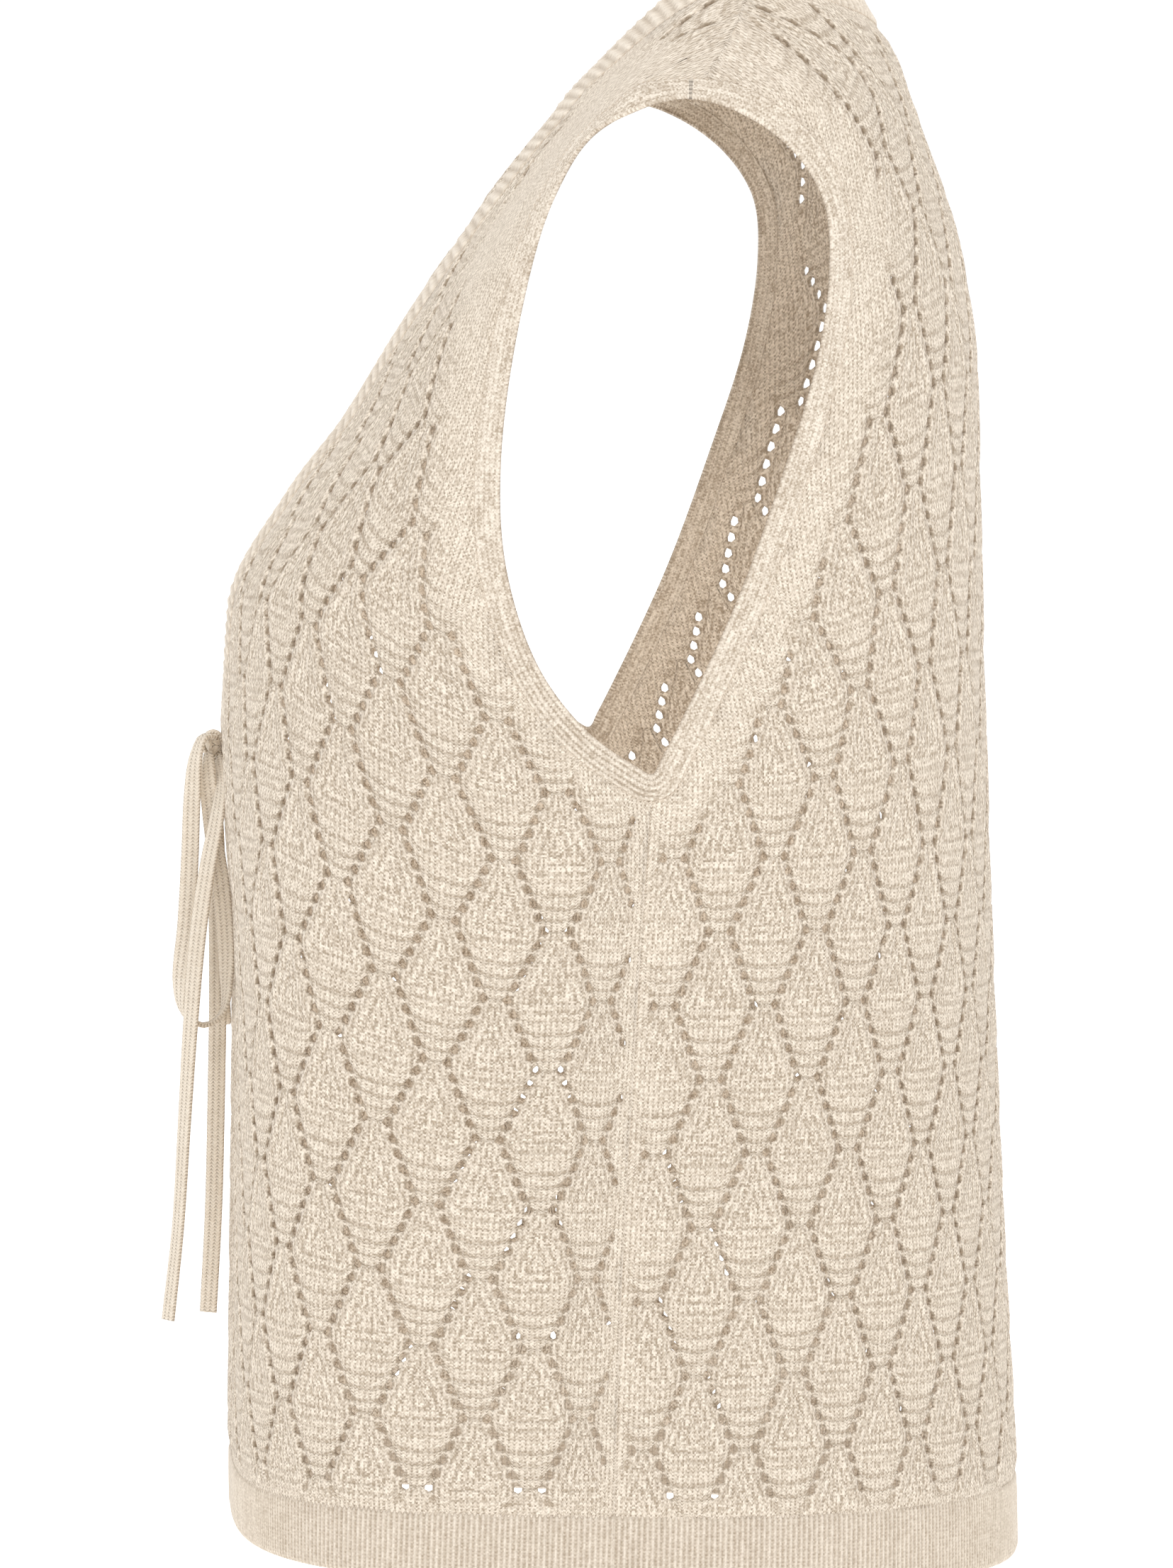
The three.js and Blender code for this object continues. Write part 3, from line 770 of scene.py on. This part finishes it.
def lace_panel(name, side):
    """One panel in its place: trimmed at its seams, with eyelets wherever they clear an edge."""
    panel, onto_back = PANELS[side], side == "back"
    x, y, strip, on_line, cells, eyelets = lace_grid()
    relief, drop = [values.ravel() for values in relief_of(x, y, strip, on_line)]
    x, y = x.ravel(), y.ravel()
    turn, height, to_seam = drape(panel, quarter_table(onto_back), x, y - drop / panel["rise"])
    angle = np.sign(x) * (math.pi - turn if onto_back else turn)
    points = on_body(angle, height)
    if onto_back:
        to_neck = back_neck_height(points[:, 0], 1 - TUCK / NECK_BAND) - height
        margin = np.where(x > 0, 13.0, 7.5)  # how far the plain knit reaches beside the armhole
    else:
        to_neck = np.abs(points[:, 0]) - beside_v(height, neck_reach(height) - TUCK)
        margin = np.where(height < -232, 6.0, 12.5)  # less of it round the armhole's foot
    to_armhole = np.full(len(points), 99.0)
    for hand in (1, -1):
        near = points[:, 0] * hand > 90
        to_armhole[near] = clear_of(armhole_seams[hand], points[near, 1:])
    to_hem = height - hem_height(HEM_SEAM, angle) + TUCK
    plain = held((to_armhole - margin) / 5 + 0.5) * held(to_neck / 6 - 0.4)
    plain *= held(to_seam / 5 - 0.2) * held(to_hem / 5 - 0.2)
    relief = relief * plain - SEAM_DIP * np.exp(-(to_seam / 1.6) ** 2) * np.where(height > -100, 0, 1)
    clear = (to_armhole > margin) & (to_neck > 5) & (to_seam > 2.5) & (to_hem > 6) & (height < 4)
    for eyelet in eyelets:  # the others are knitted shut
        if not clear[np.unique(eyelet)].all():
            cells.extend(eyelet)
    data = joined(x, y, angle, height, relief, plain, to_seam + SEAM_LAP, to_neck, to_armhole, to_hem)
    for column in (6, 7, 8, 9):
        data, cells = trimmed(data, cells, column)
    x, y, angle, height, relief, plain = data[:, :6].T
    if onto_back:
        cells = [cell[::-1] for cell in cells]
    points, knit_map = lifted(angle, height, relief), joined(x + 20, y + 20)
    return new_piece(name, points, cells, LACE_YARN, knit_map, {"lace": plain})


def lace_knit():
    yarn = Yarn("lace knit")
    x, y = yarn.knit_map()
    wale, course = x * 10, y * 20
    stitch = yarn.stitches(wale, course)
    fleck = yarn.fleck(wale, course)
    speck = yarn.fleck(wale * 3 + 0.3, course * 2)
    lace = yarn.add("ShaderNodeAttribute", output="Fac", attribute_name="lace")

    def diamond(column):
        up = ((y - column + 1) / 2).part() * 2 - 1
        return x - column, up, (1 - NODE_SIDE) - up.size() * (1 - 2 * NODE_SIDE)

    nearest = (x + 0.5).whole()
    from_middle, _, half_here = diamond(nearest)
    beyond = from_middle.size().maths("GREATER_THAN", half_here)
    column = nearest + beyond * from_middle.maths("SIGN")
    across, up, half = diamond(column)
    wide, tall = 16.5, 22.5  # half width and half height of a diamond beside the front of the body
    from_side = (half - across.size()) * wide
    from_base = (up + 0.22) * tall
    into_triangle = from_side.maths("SMOOTH_MIN", from_base, 2.0)
    upper = up.rise(-0.25, -0.1)
    # Tent rings in each diamond's upper triangle: sunk in the bump and darkened as painted shade in their
    # troughs.
    rings = (into_triangle / 2.9 + 0.08).wave() ** 2 * into_triangle.rise(1.2, 3.0) * upper * lace
    core = into_triangle.rise(2.6, 4.5) * upper * lace
    # Smile lines across each diamond's lower half: sunk in the bump and darkened as painted shade in their
    # troughs.
    smile_dip_and_shade = (y * LEVELS).wave() ** 3 * (1 - up.rise(-0.3, -0.1)) * from_side.rise(0.3, 2.4) * lace
    # Painted highlight: the colour is lighter along the welt on each diamond's upper sides.
    welt = (1 - from_side.rise(1.8, 3.0)) * up.rise(0, 0.2) * lace
    from_level = ((y * LEVELS + 0.5).part() - 0.5) * (DIAMOND[1] / LEVELS)
    from_eyelet = (from_side * from_side + from_level * from_level * 0.9).maths("SQRT")
    shadow = (1 - from_eyelet.rise(1.35, 2.15)) * lace
    grain = (fleck - 0.5) * 0.2 + (speck - 0.5) * (0.75 + core * 0.2)
    # The stitch term darkens the colour between stitches: painted shade in the gaps of the knit.
    shade = stitch * 0.55 + grain + 0.20 - smile_dip_and_shade * 0.36 - rings * 0.30 + welt * 0.10 - shadow * 0.55
    height = stitch * 0.6 + grain * 0.4 - smile_dip_and_shade * 1.2 - rings * 1.1
    return yarn.finish(shade, height, 0.32, (0.44, 0.352, 0.26), (0.90, 0.80, 0.675))


LACE_YARN = lace_knit()
for name, side, node, flat in (
    ("lace_front", "front", "front_panel", (0.501, 0.500)),
    ("lace_back", "back", "back_panel", (0.452, 0.500)),
):
    panel_piece = walled(lace_panel(name, side), LACE_THICK)
    settle(panel_piece, node)


# ---- Ribbed hem ---------------------------------------------------------------------------
# The hem is one-and-one rib, knitted before the lace on the same needles, one band in front and
# one behind. Its ribs stand upright, and its lower edge is the cast-on, which rolls slightly.
HEM = {"height": -529.0, "tilt": 6.0}
RIB_PITCH = 1.85
RIB_HEIGHT = 0.24
BAND_THICK = 1.5
BAND_LIFT = 0.45  # how far a band stands proud of the panels' surface
RIB_COURSE = 1.2  # height of a stitch of the bands


def rib_knit(name, tone, contrast, sharpness, grain_share):
    """Knit with ribs, darkened in the grooves between them as painted shade. A high sharpness makes broad
    ribs with thin grooves between them.
    """
    yarn = Yarn(name)
    rib, course = yarn.knit_map()
    stitch = yarn.stitches(rib + 0.5, course)
    crown = yarn.add("ShaderNodeAttribute", output="Fac", attribute_name="crown")
    # The grooves between ribs are sunk in the bump and also darkened as painted shade, as strongly as
    # contrast and the crown allow.
    groove_depth_and_shade = (1 - rib.wave()) ** sharpness * crown * contrast
    uneven = yarn.fleck(rib + 0.5, course / 9) - 0.5
    speck = yarn.fleck(rib * 3 + 0.3, course * 2) - 0.5
    grain = (yarn.fleck(rib, course) - 0.5) * 0.25 + speck * 0.7 + uneven * 0.3
    # The stitch term darkens the colour between stitches: painted shade in the gaps of the knit.
    shade = (stitch * 0.4 + grain - 0.27) * grain_share + tone - groove_depth_and_shade
    return yarn.finish(shade, stitch * 0.4 - groove_depth_and_shade * 2, 0.3, (0.46, 0.372, 0.28), (0.86, 0.77, 0.655))


HEM_YARN = rib_knit("rib knit", 0.65, 0.34, 1.0, 0.55)


class Form(Nodes):
    """A geometry tree with named inputs, which turns a piece's plain mesh into its finished one."""

    def __init__(self, name, inputs):
        self.tree = bpy.data.node_groups.new(name, "GeometryNodeTree")
        super().__init__(self.tree)
        for label, kind in inputs.items():
            self.tree.interface.new_socket(label, in_out="INPUT", socket_type="NodeSocket" + kind)
        self.tree.interface.new_socket("Piece", in_out="OUTPUT", socket_type="NodeSocketGeometry")
        node = self.add("NodeGroupInput").socket.node
        self.inputs = [Value(self, node.outputs[label]) for label in inputs]

    def attribute(self, name, kind):
        return self.add("GeometryNodeInputNamedAttribute", {"Name": name}, data_type=kind)

    def end(self, geometry, finish):
        """The last node: the piece dressed in its finish."""
        dressed = self.add("GeometryNodeSetMaterial", {"Geometry": geometry, "Material": finish})
        self.add("NodeGroupOutput", {"Piece": dressed})
        return self.tree


def rib_tree():
    """Raises ribs along a band's own normals, on the attributes rib (a count) and crown (0 to 1)."""
    form = Form("raised ribs", {"Band": "Geometry", "Height": "Float", "Finish": "Material"})
    band, height, finish = form.inputs
    rise = (form.attribute("rib", "FLOAT").wave() - 0.5) * height * form.attribute("crown", "FLOAT")
    normal = form.add("GeometryNodeInputNormal")
    offset = form.add("ShaderNodeVectorMath", {0: normal, "Scale": rise}, operation="SCALE")
    raised = form.add("GeometryNodeSetPosition", {"Geometry": band, "Offset": offset})
    return form.end(form.add("GeometryNodeRealizeInstances", {"Geometry": raised}), finish)


RIB_TREE = rib_tree()


def grown(piece, tree, inputs):
    """Sets a geometry tree to work on a piece, with its inputs by name."""
    growth = piece.modifiers.new("growth", "NODES")
    growth.node_group = tree
    for item in tree.interface.items_tree:
        if item.in_out == "INPUT" and item.name in inputs:
            growth[item.identifier] = inputs[item.name]
    return piece


def band_cloth(name, points, cells, rib, crown, course, yarn):
    """A band's flat cloth, from its points and cells, with its outer face outwards."""
    first = points[list(cells[len(cells) // 4])]
    if np.cross(first[1] - first[0], first[2] - first[0]) @ outward(*place_of(first[0])) < 0:
        cells = [cell[::-1] for cell in cells]
    return new_piece(name, points, cells, yarn, joined(rib + 500, course + 500), {"rib": rib, "crown": crown})


def ribbed(piece, height, yarn):
    """A band's cloth with its ribs raised, so far to each side, and with its thickness."""
    return walled(grown(piece, RIB_TREE, {"Height": height * 2 * MM, "Finish": yarn}), BAND_THICK)


def rolled(share, near, far):
    """Lift across a band: rolled in at its near edge by near and at its far edge by far."""
    return -near * held(1 - share / 0.09) ** 2 - far * held(1 - (1 - share) / 0.09) ** 2


def band_piece(name, values, rib_height, yarn, closed=False):
    """A ribbed strip on the body. Its values have a row across the strip and a column along it."""
    angle, height, lift, rib, crown, course = np.broadcast_arrays(*values)
    points = lifted(angle, height, BAND_LIFT + lift).reshape(-1, 3)
    cells = grid_cells(*angle.shape, tube=closed)
    return ribbed(band_cloth(name, points, cells, rib, crown, course, yarn), rib_height, yarn)


def hem_band(name, onto_back):
    start = QUARTER if onto_back else -QUARTER
    turns = np.linspace(start, start + math.pi, 4001)[1:-1]
    length = lengths_along(on_body(turns, hem_height(HEM_SEAM, turns)))
    ribs = round(length[-1] / RIB_PITCH)
    rib = np.arange(ribs * 4 + 1) / 4
    angle = np.interp(rib / ribs * length[-1], length, turns)
    share = np.array([0, 0.03, 0.08, 0.2, 0.4, 0.6, 0.8, 0.94, 1.0])[:, None]
    low = hem_height(HEM, angle)
    rise = (hem_height(HEM_SEAM, angle) - low) * share
    crown = 1 - 0.6 * held(1 - share / 0.05)
    values = angle, low + rise, rolled(share, 0.8, 0.5), rib, crown, rise / RIB_COURSE
    return band_piece(name, values, RIB_HEIGHT, HEM_YARN), length[-1]


for name, onto_back, node in (
    ("hem_rib_front", False, "hem_band_front"), ("hem_rib_back", True, "hem_band_back"),
):
    hem, hem_length = hem_band(name, onto_back)
    settle(hem, node)
    round(hem_length * MM, 3)


# ---- Ribbed neckband ----------------------------------------------------------------------
# A separate strip of rib, linked on round the V and the back of the neck and mitred at the V's
# point. Its ribs lie square to the edge and slant over the shoulder, the free edge is rolled
# and smooth, and a row of small leaning stitches holds the other.
NECK_PITCH = 4.6
NECK_RIB_HEIGHT = 0.42
NECK_LIFT = 0.2  # how much further the neckband stands proud than the other bands
NECK_SLANT = 8.0  # how much further round the neck a rib ends than it starts, over the shoulder
PAST_POINT = -0.16  # how far each side runs on past the V's point, to be cut off at the mitre
NECK_YARN = rib_knit("neck rib knit", 0.76, 0.34, 1.0, 0.5)


def neck_place(along, share):
    """Angle and height on the left half of the neck, at a share of the band's width from its edge.
    along is 0 at the point, 1 at the shoulder and 2 at the centre back, and runs below 0 past the
    point, where the two sides cross."""
    top = shoulder_height(share * (NECK_BAND + NECK_WIDER))
    rise = np.where(along < 0, 1.6 * along, 1 - (1 - held(along)) ** 1.6)
    edge_height = V_POINT + (NECK_TOP - V_POINT) * rise
    steep = v_line(edge_height)[2]
    square = edge_height - share * neck_reach(edge_height) * steep / np.hypot(1, steep)
    near_top = held((edge_height - NECK_TOP + 80) / 80) ** 3
    height = square + (top + (edge_height - NECK_TOP) - square) * near_top
    across = beside_v(height, share * neck_reach(height))
    section = body_section(height)
    ahead = reach_at(across, section["half"], section["front"], section["front_power"])
    front_angle = np.where(along >= 1, QUARTER, np.arctan2(across, ahead))
    x = body_section(np.array(top))["half"] * held(2 - along)
    back_height = back_neck_height(x, share)
    section = body_section(back_height)
    behind = reach_at(x, section["half"], section["back"], section["back_power"])
    on_front = along < 1
    return np.where(on_front, front_angle, np.arctan2(x, -behind)), np.where(on_front, height, back_height)


def neck_band(name):
    """Half the band as a grid, cut where it passes the centre, then mirrored and welded there."""
    along = np.concatenate([np.linspace(PAST_POINT, 1, 1500, endpoint=False), np.linspace(1, 2, 600)])
    length = lengths_along(on_body(*neck_place(along, 0.5)))
    start = np.interp(0, along, length)
    ribs = round((length[-1] - start) / NECK_PITCH) + 0.5
    pitch = (length[-1] - start) / ribs
    rib = np.arange(-round(start / pitch * 4), round(ribs * 4) + 1) / 4
    share = np.array([0, 0.025, 0.08, 0.2, 0.35, 0.5, 0.65, 0.8, 0.92, 0.975, 1.0])[:, None]
    straight = np.interp(start + rib * pitch, length, along)
    slant = NECK_SLANT * smooth_step(straight, 0.3, 0.75) * smooth_step(-straight, -1.7, -1.2)
    slanted = np.interp(start + rib * pitch + slant * (share - 0.5), length, along)
    angle, height = np.moveaxis([neck_place(row, s) for row, s in zip(slanted, share[:, 0])], 1, 0)
    x = on_body(angle, height)[..., 0]
    x[:, -1] = 0
    crown = 1 - 0.75 * held(1 - share / 0.06)
    data = joined(angle, height, rolled(share, 0.9, 0.85), rib, crown, NECK_BAND * share / RIB_COURSE, x)
    data, cells = trimmed(data.reshape(-1, 7), grid_cells(*angle.shape), 6)
    angle, height, lift, rib, crown, course, x = data.T
    at_centre = x < 0.01
    angle = np.where(at_centre, np.where(np.cos(angle) > 0, 0, math.pi), angle)
    halves = [lifted(turn, height, BAND_LIFT + NECK_LIFT + lift) for turn in (angle, -angle)]
    for half in halves:
        half[at_centre, 0] = 0
    cells += [tuple(len(height) + i for i in reversed(cell)) for cell in cells]
    twice = [np.tile(values, 2) for values in (rib, crown, course)]
    piece = band_cloth(name, np.vstack(halves), cells, *twice, NECK_YARN)
    weld = piece.modifiers.new("mitre", "WELD")
    weld.merge_threshold = 0.02 * MM
    return ribbed(piece, NECK_RIB_HEIGHT, NECK_YARN), 2 * (length[-1] - start)


def stitch_tree():
    """A row of small leaning stitches along a line of points, which face along the attribute outward."""
    form = Form("linking stitches", {
        "Seam": "Geometry", "Spacing": "Float", "Length": "Float", "Width": "Float", "Lean": "Float",
        "Seed": "Int", "Finish": "Material",
    })
    seam, spacing, length, width, lean, seed, finish = form.inputs
    curve = form.add("GeometryNodeMeshToCurve", {"Mesh": seam})
    line = form.add("GeometryNodeResampleCurve", {"Curve": curve, "Length": spacing}, mode="LENGTH")
    toward = {"Primary Axis": form.attribute("outward", "FLOAT_VECTOR"),
              "Secondary Axis": form.add("GeometryNodeInputTangent")}
    facing = form.add("FunctionNodeAxesToRotation", toward, primary_axis="Z", secondary_axis="X")
    leaning = form.add("ShaderNodeCombineXYZ", {"Z": lean})
    turn = form.add("FunctionNodeEulerToRotation", {"Euler": leaning})
    turns = {"Rotation": facing, "Rotate By": turn}
    turned = form.add("FunctionNodeRotateRotation", turns, rotation_space="LOCAL")
    plump = form.add("FunctionNodeRandomValue", {2: 0.85, 3: 1.15, "Seed": seed}, 1, data_type="FLOAT")
    sizes = form.add("ShaderNodeCombineXYZ", {"X": length, "Y": width, "Z": width})
    scale = form.add("ShaderNodeVectorMath", {0: sizes, "Scale": plump}, operation="SCALE")
    stitch = form.add("GeometryNodeMeshUVSphere", {"Segments": 6, "Rings": 4, "Radius": 0.5})
    placed = {"Points": line, "Instance": stitch, "Rotation": turned, "Scale": scale}
    row = form.add("GeometryNodeInstanceOnPoints", placed)
    whole = form.add("GeometryNodeRealizeInstances", {"Geometry": row})
    return form.end(form.add("GeometryNodeSetShadeSmooth", {"Geometry": whole}), finish)


def linking_finish():
    yarn = Yarn("linking yarn")
    place = yarn.add("ShaderNodeTexCoord", output="Object")
    strand = yarn.add("ShaderNodeTexNoise", {"Vector": place, "Scale": 900, "Detail": 2.0})
    return yarn.finish(strand, strand, 0.1, (0.52, 0.425, 0.325), (0.84, 0.745, 0.625))


STITCH_TREE = stitch_tree()
STITCHES = {
    "Spacing": 1.9 * MM, "Length": 1.5 * MM, "Width": 0.55 * MM, "Lean": math.radians(30), "Seed": 7,
    "Finish": linking_finish(),
}


def linked_row(name, angle, height, lift):
    """A closed row of linking stitches on the body, along a line of angles and heights."""
    mesh = bpy.data.meshes.new(name)
    edges = [(i, (i + 1) % len(angle)) for i in range(len(angle))]
    mesh.from_pydata((lifted(angle, height, lift) * MM).tolist(), edges, [])
    layer = mesh.attributes.new("outward", "FLOAT_VECTOR", "POINT")
    layer.data.foreach_set("vector", outward(angle, height).astype(np.float32).ravel())
    piece = baked(grown(in_scene(name, mesh), STITCH_TREE, STITCHES))
    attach(piece, "root")
    return piece


neckband, neckband_length = neck_band("neck_rib")
settle(neckband, "neckband")
seam_turns, seam_heights = neck_place(np.linspace(PAST_POINT, 2, 900), 1.0)
on_left = seam_turns > 0
seam_turns, seam_heights = seam_turns[on_left], seam_heights[on_left]
row = linked_row("neck_rib_linking", np.r_[seam_turns, -seam_turns[::-1]],
                 np.r_[seam_heights, seam_heights[::-1]], 0.1)

round(neckband_length * MM, 3)


# ---- Armhole bands ------------------------------------------------------------------------
# Narrow strips linked on round each armhole, with their wales along the edge. They are pulled
# tight round the foot of the front, where five ridges show, and the free edge is rolled.
ARM_PITCH = 1.8
ARM_RIDGE_HEIGHT = 0.12
ARM_LIFT = -0.3  # the armhole bands stand less proud than the others
ARM_YARN = rib_knit("armhole knit", 0.52, 0.24, 3.0, 1.1)


def armhole_band(name, side):
    aside = np.linspace(0, ARM_BAND, 21)[:, None]
    angle, height = np.moveaxis([beside_edge(*armhole_places[side], step) for step in aside[:, 0]], 1, 0)
    angle = angle * side
    points = on_body(angle, height)
    middle = points[len(points) // 2]
    length = lengths_along(np.vstack([middle, middle[:1]]))
    ridged = smooth_step(height, -200, -238) * smooth_step(points[..., 1], -19, -27)
    crown = np.clip(aside / ARM_BAND / 0.1, 0.2, 1) * (0.12 + 0.88 * ridged)
    lift = ARM_LIFT + rolled(aside / ARM_BAND, 0.9, 0.25)
    values = angle, height, lift, aside / ARM_PITCH + 0.5, crown, length[:-1] / RIB_COURSE
    return band_piece(name, values, ARM_RIDGE_HEIGHT, ARM_YARN, True), length[-1]


for name, side, node in (
    ("armhole_rib_left", 1, "armhole_band_left"), ("armhole_rib_right", -1, "armhole_band_right"),
):
    armhole, armhole_length = armhole_band(name, side)
    settle(armhole, node)
    seam_turns, seam_heights = beside_edge(*armhole_places[side], ARM_BAND)
    row = linked_row(name + "_linking", seam_turns * side, seam_heights, 0.0)

    round(armhole_length * MM, 3)


# ---- Floor and light ----------------------------------------------------------------------
# A pale sweep under and behind the vest, with soft light from all round, two wide lamps above,
# and a small one inside the body that stands for the light which comes through the cloth.
FLOOR_DROP = 0.09  # from the hem down to the floor, in metres
FLOOR_HALF = 30  # half the width of the floor, in metres
floor_mesh = bpy.data.meshes.new("floor")
floor_z = cad_box[0].z - FLOOR_DROP
corners = [(x * FLOOR_HALF, y * FLOOR_HALF, floor_z) for x, y in ((-1, -1), (1, -1), (1, 1), (-1, 1))]
floor_mesh.from_pydata(corners, [], [(0, 1, 2, 3)])
floor_mesh.materials.append(new_finish("floor", {
    "Base Color": (0.95, 0.95, 0.95, 1), "Roughness": 1.0,
    "Emission Color": (1, 1, 1, 1), "Emission Strength": 0.45,
}))
in_scene("floor", floor_mesh)


world = bpy.data.worlds.new("studio")
world.use_nodes = True
sky = Nodes(world.node_tree)
seen_straight = sky.add("ShaderNodeLightPath")
sky.links.new((seen_straight * 0.215 + 0.855).socket, sky.nodes["Background"].inputs["Strength"])
sky.nodes["Background"].inputs["Color"].default_value = (1, 1, 1, 1)
bpy.context.scene.world = world
bpy.context.scene.view_settings.view_transform = "Standard"

# Each lamp is a soft square: its place, the point that it faces, its width and its power.
for name, place, faced, width, power in (
    ("key", (2.7, -0.4, 1.8), (0, 0, -0.3), 0.9, 14),
    ("top", (0.4, 0.2, 2.6), (0, 0, -0.1), 1.2, 17),
    ("inside", (0, -0.03, -0.14), (0, -0.03, -1), 0.08, 0.21),
):
    lamp = in_scene(name, bpy.data.lights.new(name, "AREA"))
    lamp.data.size = width
    lamp.data.energy = power
    aim(lamp, Vector(place), Vector(faced))
